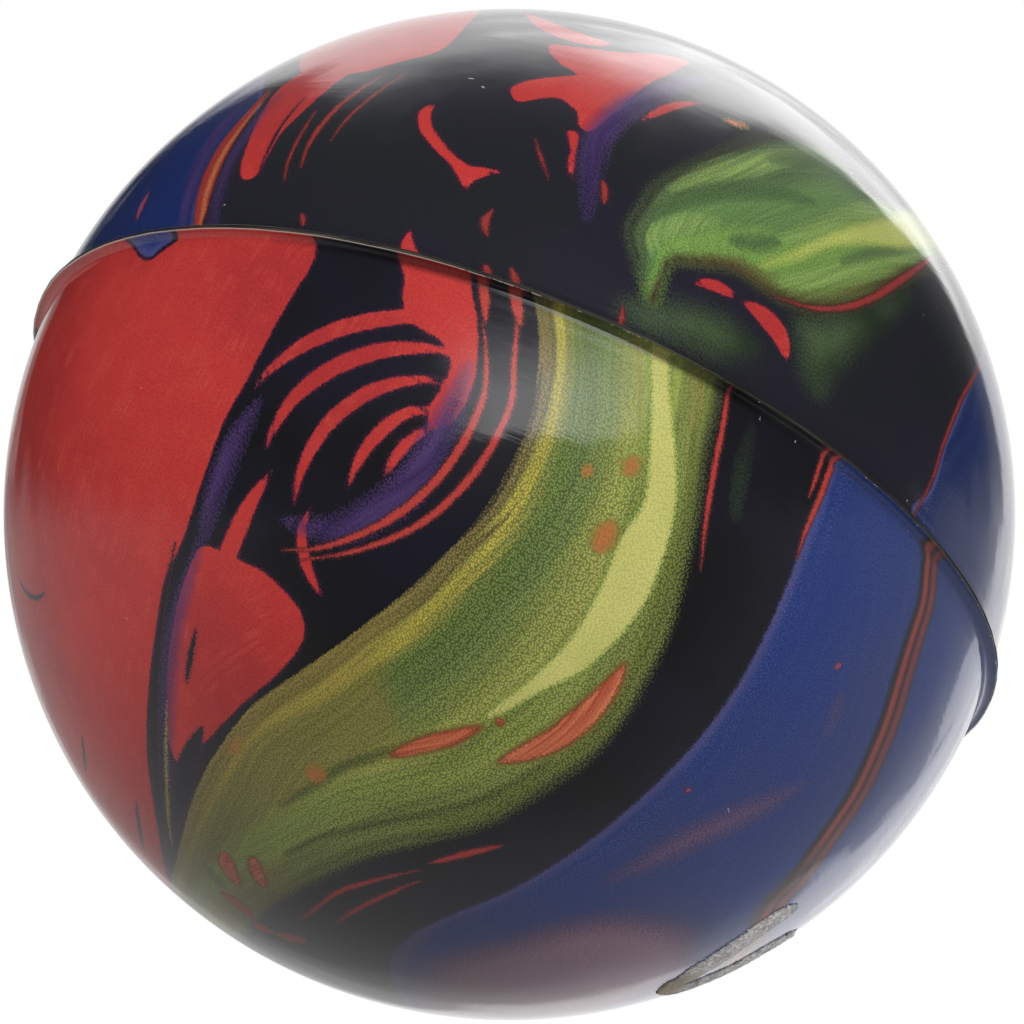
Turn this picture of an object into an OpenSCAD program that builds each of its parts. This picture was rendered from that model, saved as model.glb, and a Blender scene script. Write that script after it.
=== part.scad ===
// Bouncy ball: a hollow rubber core in two cemented halves, wrapped in two cups of printed film.
// The ball's centre is the origin, and +Z is the axis square to the seam.

/* [Ball] */
// Diameter over the printed film, clear of the seam ridge
ball_d = 60; // [45:0.5:80]
// Thickness of the printed film
film_t = 0.3; // [0.2:0.05:0.6]
// Wall thickness of the rubber core
core_wall = 4.5; // [3:0.1:8]

/* [Seam] */
// How far the film lips stand proud of the ball
ridge_h = 0.63; // [0.3:0.01:1]
// Height of each film lip at its root, along the axis
lip_root = 0.35; // [0.3:0.05:1]
// Height of the blunt edge that each film lip ends in
lip_edge = 0.12; // [0.05:0.01:0.25]
// Radius of the hollow in each lip's outer flank
lip_hollow_r = 0.8; // [0.8:0.05:3]
// Thickness of the cement between the two halves
cement_t = 0.12; // [0.05:0.01:0.3]
// How far the cement stops short of the lips' edges
cement_setback = 0.08; // [0.02:0.01:0.2]

/* [Filling port] */
// Angle of the port below the seam, in degrees
port_latitude = 41; // [25:1:65]
// Angle of the port about the axis from +X, in degrees
port_longitude = 0; // [0:1:359]
// Diameter of the plug's stem
plug_stem_d = 3; // [2:0.1:5]
// Radial gap between the plug's stem and the port
port_gap = 0.05; // [0.02:0.01:0.1]
// Diameter of the plug's head, which seats on the core's inner wall
plug_head_d = 9; // [6:0.1:12]
// Thickness of the plug's head at its rim
plug_head_t = 1.2; // [0.8:0.1:2]
// Gap between the plug's head and the core's inner wall
plug_seat_gap = 0.02; // [0:0.01:0.05]

/* [Port seal] */
// Outer diameter of the bead of cement laid round the port
seal_d = 9; // [7:0.1:12]
// Width of the bead
seal_bead_w = 1.9; // [1:0.1:2.5]
// How far the bead's rounded back stands proud of the film
seal_h = 0.3; // [0.15:0.05:0.6]
// Angle that the bead runs through, in degrees
seal_arc = 310; // [200:5:330]
// Angle at which the bead starts about the port's axis, in degrees
seal_start = 195; // [0:5:355]

/* [Hidden] */
$fn = 96;
bead_fn = 256;                  // finer, because the bead is thin on a large sphere

ball_r = ball_d / 2;
core_r = ball_r - film_t;
cavity_r = core_r - core_wall;
ridge_r = ball_r + ridge_h;
joint_half = cement_t / 2;
overrun = film_t;               // how far every cut runs past what it cuts

lip_root_z = joint_half + lip_root;
lip_root_r = sqrt(ball_r * ball_r - lip_root_z * lip_root_z);
lip_edge_z = joint_half + lip_edge;

port_r = plug_stem_d / 2 + port_gap;
plug_seat_r = cavity_r - plug_seat_gap;
plug_head_r = plug_head_d / 2;
// Height of the cap that the head's domed top adds above its rim
plug_dome_h = plug_seat_r - sqrt(plug_seat_r * plug_seat_r - plug_head_r * plug_head_r);

seal_mid_r = (seal_d - seal_bead_w) / 2;
// Radius of the bead's back, an arc seal_bead_w wide and seal_h high
seal_back_r = (seal_bead_w * seal_bead_w / 4 + seal_h * seal_h) / (2 * seal_h);
seal_tilt = asin(seal_mid_r / ball_r);

// A hollow half ball between two radii, with a flat rim half a cement line above the seam plane.
module half_shell(outer_r, inner_r) {
    intersection() {
        difference() {
            sphere(r = outer_r);
            sphere(r = inner_r);
        }
        translate([0, 0, joint_half]) cylinder(r = outer_r + overrun, h = outer_r + overrun);
    }
}

// The film's lip, which thins from its root on the ball to a blunt edge along a hollow flank.
module film_lip() {
    flank = [ridge_r - lip_root_r, lip_edge_z - lip_root_z];
    outward = [-flank.y, flank.x] / norm(flank);
    hollow_reach = sqrt(lip_hollow_r * lip_hollow_r - flank * flank / 4);
    rotate_extrude() difference() {
        polygon([
            [core_r, joint_half],
            [ridge_r, joint_half],
            [ridge_r, lip_edge_z],
            [lip_root_r, lip_root_z],
            [core_r, lip_root_z],
        ]);
        translate([lip_root_r, lip_root_z] + flank / 2 + outward * hollow_reach)
            circle(r = lip_hollow_r);
    }
}

// One cup of film with its lip turned out at the seam.
module film_cup() {
    difference() {
        union() {
            half_shell(ball_r, core_r);
            film_lip();
        }
        sphere(r = core_r);
    }
}

// Turns a shape that stands on +Z so that it lies on the port's axis.
module at_port() {
    rotate([0, 90 + port_latitude, port_longitude]) children();
}

module upper_skin() {
    color("#2b2b33") film_cup();
}

module lower_skin() {
    color("#b83a30") mirror([0, 0, 1]) film_cup();
}

module upper_core_half() {
    color("#8d8f92") half_shell(core_r, cavity_r);
}

module lower_core_half() {
    color("#8d8f92") difference() {
        mirror([0, 0, 1]) half_shell(core_r, cavity_r);
        at_port() translate([0, 0, cavity_r - core_wall]) cylinder(r = port_r, h = 3 * core_wall);
    }
}

// The cement line across the rims, which runs out between the lips.
module joint_cement() {
    color("#55565a") difference() {
        translate([0, 0, -joint_half]) cylinder(r = ridge_r - cement_setback, h = cement_t);
        translate([0, 0, -joint_half - overrun]) cylinder(r = cavity_r, h = cement_t + 2 * overrun);
    }
}

// The self-sealing plug: its head seats on the inner wall, and its stem ends flush with the core.
module port_plug() {
    color("#3f4145") at_port() {
        intersection() {
            translate([0, 0, plug_seat_r - plug_dome_h - plug_head_t])
                cylinder(r = plug_head_r, h = plug_head_t + 2 * plug_dome_h);
            sphere(r = plug_seat_r);
        }
        intersection() {
            translate([0, 0, plug_seat_r - plug_dome_h])
                cylinder(r = plug_stem_d / 2, h = plug_dome_h + 2 * core_wall);
            sphere(r = core_r);
        }
    }
}

// The bead of dried cement on the film: an open ring round the port with a rounded back.
module port_seal() {
    $fn = bead_fn;
    color("#a9aaa6") at_port() rotate([0, 0, seal_start]) rotate_extrude(angle = seal_arc) difference() {
        intersection() {
            translate((ball_r + seal_h - seal_back_r) * [sin(seal_tilt), cos(seal_tilt)])
                circle(r = seal_back_r);
            square(ball_r + seal_h + overrun);
        }
        circle(r = ball_r);
    }
}

upper_skin();
lower_skin();
upper_core_half();
lower_core_half();
joint_cement();
port_plug();
port_seal();
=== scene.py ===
import bpy
import numpy as np
from math import asin, cos, pi, radians, sin, tan
from mathutils import Matrix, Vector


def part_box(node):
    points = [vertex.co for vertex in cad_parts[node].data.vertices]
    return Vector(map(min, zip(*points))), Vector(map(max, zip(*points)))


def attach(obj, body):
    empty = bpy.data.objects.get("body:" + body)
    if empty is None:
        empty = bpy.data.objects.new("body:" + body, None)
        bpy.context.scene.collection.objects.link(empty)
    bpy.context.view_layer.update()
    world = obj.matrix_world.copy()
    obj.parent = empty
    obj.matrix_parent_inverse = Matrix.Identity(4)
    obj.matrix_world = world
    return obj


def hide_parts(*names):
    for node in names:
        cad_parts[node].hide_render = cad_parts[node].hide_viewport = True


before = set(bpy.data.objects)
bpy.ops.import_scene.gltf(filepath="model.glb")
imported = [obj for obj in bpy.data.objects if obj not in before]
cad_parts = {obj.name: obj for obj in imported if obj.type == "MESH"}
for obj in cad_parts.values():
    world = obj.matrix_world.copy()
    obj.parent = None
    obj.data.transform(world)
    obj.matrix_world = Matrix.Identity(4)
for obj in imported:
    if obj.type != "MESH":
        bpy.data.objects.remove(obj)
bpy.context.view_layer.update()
print("frame loaded")

mm = 0.001
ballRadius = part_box("upper_skin")[1].z / mm        # over the film, clear of the seam
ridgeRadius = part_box("upper_skin")[1].x / mm       # out to the lips' edges
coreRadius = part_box("upper_core_half")[1].z / mm
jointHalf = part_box("joint_cement")[1].z / mm       # half the cement's thickness
random = np.random.default_rng(41)

# Where the ball lies in the photograph, in pixels, and how its seam leans there.
photo = {
    "size": 1024,
    "centre": (509.5, 514.5),
    "radius": 506.0,
    "distance": 12.0,       # from the ball's centre to the camera, in ball radii
    "tilt": radians(22.9),  # how far below the seam plane the camera is
    "roll": radians(23.0),  # how far the seam's axis leans to the right
    "sensor": 36.0,
}
limbAngle = asin(1 / photo["distance"])            # half the angle that the ball fills at the camera
toCamera = np.array([0, -cos(photo["tilt"]), -sin(photo["tilt"])])
axisInView = np.array([0, -sin(photo["tilt"]), cos(photo["tilt"])])
sideways = np.array([1.0, 0, 0])
imageRight = cos(photo["roll"]) * sideways + sin(photo["roll"]) * axisInView
imageDown = sin(photo["roll"]) * sideways - cos(photo["roll"]) * axisInView


# An sRGB hex colour as the linear colour that the shaders work in.
def linear(code):
    parts = np.array([int(code[i:i + 2], 16) / 255 for i in (1, 3, 5)])
    parts = np.where(parts <= 0.04045, parts / 12.92, ((parts + 0.055) / 1.055) ** 2.4)
    return (*(float(part) for part in parts), 1.0)


# Adds one node with its settings. An input is a value, a socket, or a node, of which it takes the first
# output in use.
def addNode(tree, kind, inputs=None, **settings):
    node = tree.nodes.new("ShaderNode" + kind)
    for name, value in settings.items():
        setattr(node, name, value)
    for socket, value in (inputs or {}).items():
        if isinstance(value, bpy.types.Node):
            value = next(output for output in value.outputs if output.enabled)
        if isinstance(value, bpy.types.NodeSocket):
            tree.links.new(value, node.inputs[socket])
        else:
            node.inputs[socket].default_value = value
    return node


# A material with its shader, whose plain values are its finish, and its place in the object in millimetres.
def newMaterial(name, finish):
    material = bpy.data.materials.new(name)
    material.use_nodes = True
    tree = material.node_tree
    tree.nodes.clear()
    shader = addNode(tree, "BsdfPrincipled", finish)
    addNode(tree, "OutputMaterial", {"Surface": shader})
    coordinates = addNode(tree, "TexCoord").outputs["Object"]
    place = addNode(tree, "VectorMath", {0: coordinates, "Scale": 1 / mm}, operation="SCALE")
    return material, tree, shader, place


# Soft patches of one size in millimetres, from nothing to full between two levels of a noise.
def clouds(tree, place, size, start=0.4, end=0.6, detail=2.0):
    noise = addNode(tree, "TexNoise", {"Vector": place, "Scale": 1 / size, "Detail": detail})
    return addNode(tree, "MapRange", {"Value": noise, "From Min": start, "From Max": end})


# Lays ink over ink where a field of millimetres is positive: the grain breaks the edge up over a spread.
def layInk(tree, under, over, field, grain, spread=0.1, soft=0.04, grow=0.0):
    broken = addNode(tree, "Math", {0: grain, 1: spread, 2: field}, operation="MULTIPLY_ADD")
    cover = addNode(tree, "MapRange", {"Value": broken, "From Min": -soft - grow, "From Max": soft - grow})
    return addNode(tree, "MixRGB", {0: cover, 1: under, 2: over})


# Where a sight line through a pixel meets the ball, as a direction from its centre. The sine rule gives the
# angle. Pixels outside the outline carry on round the far side, as far again at twice the radius.
def pixelToDirection(pixels):
    offset = (np.array(pixels, float) - photo["centre"]) / photo["radius"]
    reach = np.maximum(np.hypot(offset[:, 0], offset[:, 1]), 1e-9)[:, None]
    sight = np.arctan(np.minimum(reach, 1) * tan(limbAngle))
    turn = np.arcsin(np.clip(photo["distance"] * np.sin(sight), -1, 1)) - sight
    turn = turn + np.maximum(reach - 1, 0) * (pi / 2 + limbAngle)
    outward = (offset[:, :1] * imageRight + offset[:, 1:] * imageDown) / reach
    return np.cos(turn) * toCamera + np.sin(turn) * outward


# The same the other way round.
def directionToPixel(directions):
    turn = np.arccos(np.clip(directions @ toCamera, -1, 1))
    seen = np.sin(turn) / ((photo["distance"] - np.cos(turn)) * tan(limbAngle))
    past = 1 + (turn - pi / 2 + limbAngle) / (pi / 2 + limbAngle)
    reach = np.where(turn < pi / 2 - limbAngle, seen, past) / np.maximum(np.sin(turn), 1e-9)
    offset = np.stack([directions @ imageRight, directions @ imageDown], axis=1) * reach[:, None]
    return offset * photo["radius"] + photo["centre"]


# A smooth curve on the ball through some pixels: each run between two points is the Catmull-Rom cubic.
def curveThrough(pixels, closed=False, steps=5):
    points = pixelToDirection(pixels)
    if closed:
        points = np.concatenate([points[-1:], points, points[:2]])
    else:
        points = np.concatenate([2 * points[:1] - points[1:2], points, 2 * points[-1:] - points[-2:-1]])
    t = (np.arange(steps) / steps)[None, :, None]
    a, b, c, d = (points[i:len(points) - 3 + i][:, None, :] for i in range(4))
    runs = b + t * (c - a) / 2 + t * t * (a - 2.5 * b + 2 * c - d / 2)
    runs = runs + t ** 3 * (1.5 * (b - c) + (d - a) / 2)
    curve = np.concatenate([runs.reshape(-1, 3), points[-2:-1]])
    return curve / np.linalg.norm(curve, axis=1)[:, None]


# The nearest point of a curve's short straight runs, in millimetres: how far off it is, with a sign for the
# side, how far along, the whole length, and how far past either end the direction lies.
def nearestOn(directions, curve):
    starts, steps = curve[:-1], np.diff(curve, axis=0)
    lengths = np.linalg.norm(steps, axis=1)
    along = directions @ steps.T - np.sum(starts * steps, axis=1)
    part = np.clip(along / lengths ** 2, 0, 1)
    squares = 2 - 2 * directions @ starts.T - 2 * part * along + (part * lengths) ** 2
    rows, best = np.arange(len(directions)), np.argmin(squares, axis=1)
    before = np.concatenate([[0], np.cumsum(lengths)])
    travelled = before[best] + part[rows, best] * lengths[best]
    distance = np.sqrt(np.maximum(squares[rows, best], 0))
    distance = np.where(np.sum(directions * np.cross(starts, steps)[best], axis=1) < 0, -distance, distance)
    overrun = np.maximum(-along[:, 0] / lengths[0], along[:, -1] / lengths[-1] - lengths[-1])
    overrun = np.where((travelled <= 0) | (travelled >= before[-1]), overrun, 0)
    return (distance * ballRadius, travelled * ballRadius, before[-1] * ballRadius, overrun * ballRadius)


farOff = 3.0                # millimetres past which a field needs no exact value


# The directions near a curve, as a mask.
def closeTo(directions, curve):
    middle = curve.mean(axis=0)
    middle /= np.linalg.norm(middle)
    reach = np.arccos(np.clip((curve @ middle).min(), -1, 1)) + farOff / ballRadius
    return directions @ middle > (cos(reach) if reach < pi else -2)


# A field of millimetres, positive inside a closed outline: the distance to it, with the sign from how often
# a line to the right crosses it in the photo's plane.
def outlineField(directions, pixels):
    curve = curveThrough(pixels, closed=True)
    near = closeTo(directions, curve)
    field = np.full(len(directions), -farOff)
    distance = np.abs(nearestOn(directions[near], curve)[0])
    x, y = directionToPixel(directions[near]).T
    corners = directionToPixel(curve)
    inside = np.zeros(len(x), bool)
    for (xa, ya), (xb, yb) in zip(corners[:-1], corners[1:]):
        crosses = (ya > y) != (yb > y)
        inside ^= crosses & (x < xa + (y - ya) * (xb - xa) / (yb - ya + 1e-12))
    field[near] = np.where(inside, distance, -distance)
    return np.clip(field, -farOff, farOff)


strokeShape = {
    "short": 6,                 # one shorter than so many half widths has the blunter ends
    "thinning": (0.5, 0.8),     # power that draws in a short stroke's ends, and a long one's
    "fringe": 0.35,             # millimetres outside its edge where its half width starts to drop
    "drop": 8,                  # how fast it drops there
    "cap": 2,                   # how fast it drops past its ends
}


# A stroke's millimetres off its middle line, with a sign, and its half width. The half width, given in
# pixels, thins to the ends, and far from the line it drops, so that nothing shows where the sign turns.
def strokeFields(directions, halfWidth, pixels):
    curve = curveThrough(pixels)
    near = closeTo(directions, curve)
    off, travelled, length, overrun = nearestOn(directions[near], curve)
    wide = halfWidth / photo["radius"] * ballRadius
    thinning = strokeShape["thinning"][0 if length < strokeShape["short"] * wide else 1]
    half = wide * np.maximum(1 - (2 * travelled / length - 1) ** 2, 0) ** thinning
    beyond = np.maximum(np.abs(off) - half - strokeShape["fringe"], 0)
    half = half - strokeShape["drop"] * beyond - strokeShape["cap"] * overrun
    fields = np.tile([0, -farOff], (len(directions), 1))
    fields[near] = np.stack([off, np.maximum(half, -farOff)], axis=1)
    return fields


# The print of the cup below the seam, as marbling: inks floated on a bath, drawn out and lifted off on the
# film. Each shape is a half width in pixels, or 0 for a closed outline, and its points in the photograph. An
# ink that one of the two prints hasn't got is left out there.
greenLeft = [(528, 262), (534, 300), (539, 340), (535, 400), (522, 440), (498, 488), (472, 526), (438, 561),
             (400, 597), (351, 635), (302, 670), (252, 706), (217, 751), (196, 790), (181, 840), (173, 872),
             (166, 905), (150, 960), (112, 1030), (60, 1090)]
greenRight = [(722, 340), (722, 375), (719, 410), (708, 450), (701, 500), (688, 560), (673, 621),
              (652, 671), (627, 716), (592, 758), (542, 794), (491, 824), (440, 839), (380, 854), (340, 870),
              (305, 888), (272, 905), (250, 926), (236, 960), (212, 1010), (160, 1070), (70, 1110)]
lowerPrint = {
    "blue": [
        (0, [(845, 425), (832, 465), (812, 518), (793, 570), (770, 625), (739, 684), (700, 738), (651, 789),
             (588, 842), (515, 888), (452, 915), (413, 935), (391, 960), (398, 990), (430, 1020),
             (520, 1110), (700, 1150), (880, 1080), (1040, 960), (1140, 780), (1130, 600), (1010, 500)]),
        (0, [(124, 224), (132, 240), (141, 254), (150, 257), (160, 249), (170, 242), (181, 230), (187, 214),
             (160, 205)]),
    ],
    "red": [
        (0, [(40, 285), (100, 235), (122, 227), (131, 243), (140, 257), (150, 260), (161, 252), (172, 245),
             (184, 232), (190, 214), (200, 200), (300, 205), (316, 240), (312, 265), (290, 300), (250, 375),
             (225, 420), (203, 480), (183, 540), (165, 580), (158, 620), (152, 660), (148, 700),
             (147, 740), (150, 780), (155, 810), (164, 850), (176, 890), (150, 990), (-30, 930), (-110, 760),
             (-140, 560), (-90, 380)]),
        (0, [(205, 545), (240, 560), (268, 575), (300, 610), (303, 640), (280, 672), (242, 705), (206, 742),
             (180, 764), (168, 740), (166, 690), (170, 640), (181, 590), (192, 560)]),
        (0, [(384, 230), (395, 252), (404, 276), (402, 300), (410, 322), (436, 338), (450, 356), (444, 384),
             (428, 408), (432, 430), (452, 424), (470, 396), (478, 360), (478, 320), (472, 290), (474, 262),
             (478, 240), (440, 225)]),
        (9, [(470, 334), (430, 318), (390, 318), (345, 327), (304, 345), (272, 368), (252, 392)]),
        (9, [(462, 356), (420, 348), (375, 352), (330, 370), (296, 396), (276, 424), (264, 452)]),
        (8, [(452, 382), (414, 380), (374, 390), (340, 412), (316, 440), (300, 474), (293, 508)]),
        (7, [(442, 410), (410, 412), (382, 430), (360, 458), (346, 490)]),
        (6, [(436, 428), (416, 436), (396, 456), (384, 480)]),
        (10, [(272, 470), (252, 500), (236, 534), (222, 570), (208, 610)]),
        (6, [(312, 506), (302, 530), (306, 564), (322, 598)]),
    ],
    "dark": [
        (5, [(176, 540), (163, 605), (155, 682), (154, 740), (158, 800), (166, 860), (182, 910)]),
        (3, [(196, 628), (190, 660), (186, 685)]),
        (2.5, [(18, 577), (26, 592), (37, 598), (46, 592)]),
        (2.5, [(136, 800), (139, 825), (144, 850)]),
        (2.5, [(82, 735), (84, 755), (86, 772)]),
        (12, [(203, 726), (192, 752), (182, 785), (176, 826)]),
    ],
    "purple": [
        (18, [(470, 360), (455, 400), (435, 445), (410, 485), (370, 515), (330, 530), (280, 520)]),
        (9, [(204, 530), (190, 575), (176, 625), (169, 680), (167, 730), (168, 790)]),
        (12, [(262, 398), (236, 440), (216, 490), (202, 545)]),
    ],
    "green": [(0, greenLeft + greenRight[::-1])],
    "yellow": [
        (0, [(645, 318), (650, 350), (652, 400), (650, 450), (645, 500), (620, 540), (600, 590), (570, 640),
             (530, 680), (485, 716), (500, 714), (540, 692), (580, 672), (610, 647), (640, 610), (655, 580),
             (668, 540), (676, 500), (675, 450), (670, 400), (668, 350), (664, 318)]),
    ],
    "gold": [
        (2.5, [(167, 700), (166, 745), (167, 790), (173, 850)]),
        (1.6, [(630, 324), (638, 356), (640, 400), (638, 450)]),
        (1.6, [(690, 345), (693, 390), (690, 440)]),
        (1.6, [(700, 350), (703, 390), (700, 425)]),
    ],
    "moss": [
        (13, [(735, 372), (762, 392), (792, 424)]),
        (5, [(752, 425), (742, 470), (735, 520)]),
    ],
    "olive": [
        (0, [(420, 560), (380, 660), (400, 740), (330, 780), (290, 830), (280, 930), (120, 900), (130, 780),
             (230, 680), (330, 600)]),
    ],
    "lime": [
        (20, [(200, 900), (226, 872), (250, 852), (278, 836), (303, 818), (343, 798), (390, 788), (440, 780),
              (490, 770)]),
        (7, [(650, 330), (640, 400), (628, 470), (600, 540)]),
    ],
    "furrow": [
        (2.6, [(280, 806), (318, 783), (345, 766), (396, 749), (436, 732)]),
        (2.2, [(286, 856), (319, 838), (370, 825), (430, 814), (490, 796), (550, 762)]),
    ],
    "coral": [
        (12.5, [(496, 763), (530, 751), (560, 736), (590, 711), (612, 685), (626, 662)]),
        (8, [(388, 757), (420, 746), (450, 738), (484, 726)]),
        (4.5, [(495, 724), (504, 720)]),
        (10, [(226, 852), (228, 868), (238, 886)]),
        (8, [(253, 856), (257, 872), (264, 888)]),
    ],
    "smudge": [
        (10, [(596, 554), (604, 538), (613, 520)]),
        (6, [(582, 468), (592, 474)]),
        (7, [(626, 476), (637, 456)]),
        (9, [(306, 776), (326, 772)]),
        (4, [(230, 754), (242, 738)]),
    ],
    "thread": [
        (4, [(520, 290), (514, 365), (512, 400), (500, 430), (480, 465), (450, 500), (410, 530), (352, 552),
             (300, 560)]),
        (3, [(424, 869), (384, 878), (343, 890), (319, 906), (298, 922)]),
        (2.6, [(830, 425), (820, 465), (808, 500)]),
        (5, [(478, 258), (484, 290), (486, 325)]),
    ],
    "vein": [
        (4.5, [(482, 318), (486, 350), (485, 390), (470, 430), (445, 470), (410, 505), (370, 530), (320, 548),
             (280, 550)]),
        (9, [(220, 892), (238, 904), (254, 918)]),
        (9, [(252, 924), (272, 932)]),
        (9, [(278, 936), (306, 940)]),
        (4, [(505, 845), (470, 853), (427, 864)]),
        (3, [(424, 880), (404, 887), (363, 906), (334, 924)]),
        (3, [(732, 345), (724, 420), (716, 460), (706, 520), (700, 575)]),
        (3.6, [(843, 415), (834, 455), (822, 492), (806, 530), (796, 560)]),
        (4, [(834, 668), (842, 664)]),
        (4, [(684, 792), (692, 788)]),
        (6, [(511, 258), (515, 290), (521, 330)]),
    ],
    "cord": [
        (22, [(985, 380), (938, 520), (931, 556), (927, 600), (915, 640), (903, 680), (891, 720), (877, 755),
              (859, 793), (836, 828), (813, 860), (793, 888), (770, 914), (695, 1010), (560, 1190)]),
    ],
    "wear": [
        (0.9, [(761, 414), (759, 422)]),
        (1, [(793, 438), (796, 443)]),
        (0.9, [(908, 530), (910, 536)]),
        (0.8, [(124, 618), (128, 619)]),
        (0.8, [(212, 907), (216, 909)]),
        (0.8, [(140, 387), (143, 389)]),
        (0.9, [(728, 808), (729, 813)]),
    ],
    "blush": [
        (22, [(600, 884), (670, 850), (715, 828), (810, 780)]),
        (0, [(395, 985), (430, 955), (500, 935), (570, 915), (640, 910), (700, 925), (700, 960), (640, 1000),
             (540, 1030), (430, 1015)]),
        (20, [(440, 922), (408, 942), (395, 965), (402, 992), (428, 1016)]),
        (8, [(826, 740), (836, 712), (842, 690)]),
        (12, [(800, 905), (845, 880), (880, 850)]),
    ],
    "smear": [
        (15, [(826, 842), (800, 872), (772, 898), (748, 922)]),
        (7, [(210, 868), (222, 888)]),
    ],
    "guides": [greenLeft, greenRight, [(835, 460), (790, 580), (700, 735), (580, 845), (420, 928)],
               [(925, 550), (890, 720), (805, 862), (700, 1000)], [(312, 265), (203, 480), (147, 740)],
               [(485, 350), (445, 470), (340, 542)]],
    "greenSides": (greenLeft, greenRight),
}
print("lower print drawn")

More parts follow.
